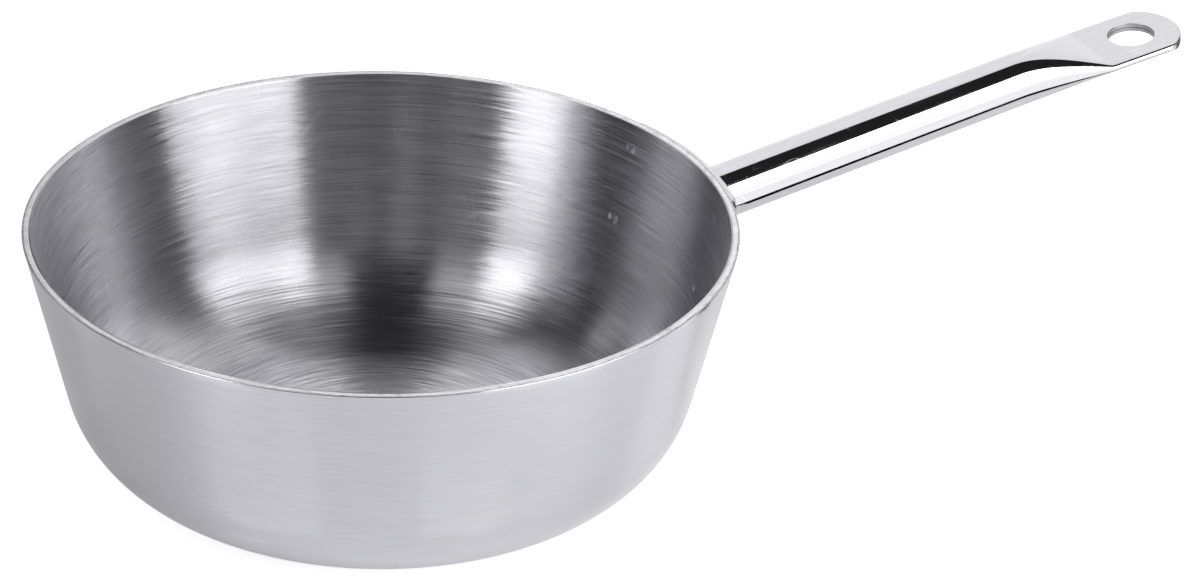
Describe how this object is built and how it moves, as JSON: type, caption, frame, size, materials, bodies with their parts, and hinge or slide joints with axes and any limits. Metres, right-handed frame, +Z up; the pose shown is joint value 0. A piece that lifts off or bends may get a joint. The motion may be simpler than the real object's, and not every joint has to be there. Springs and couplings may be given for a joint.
{
  "type": "saucier pan",
  "caption": "Flared stovetop saucier pan: round clad-steel bowl with a wide rounded floor corner and one long tube handle, flattened at its end with a hanging hole.",
  "frame": {"origin": "centre of the flat base's underside, on the bowl's axis", "axes": "+Z up out of the bowl, +X along the handle, seen from above, towards its hanging hole, +Y to the left of the handle"},
  "size_m": [0.3658, 0.1998, 0.0849],
  "materials": {
    "inner_steel": "brushed in rings, satin",
    "core_aluminium": "ground bare at the rim",
    "outer_steel": "fine satin polish",
    "handle_steel": "mirror-polished stainless steel",
    "bracket_steel": "satin",
    "weld_steel": "smoothed weld, faintly rippled"
  },
  "bodies": {
    "root": {"inner_skin": "inner_steel", "aluminium_core": "core_aluminium", "outer_skin": "outer_steel", "handle_tube": "handle_steel", "handle_bracket": "bracket_steel", "spot_welds": "weld_steel", "handle_weld": "weld_steel"}
  },
  "joints": []
}
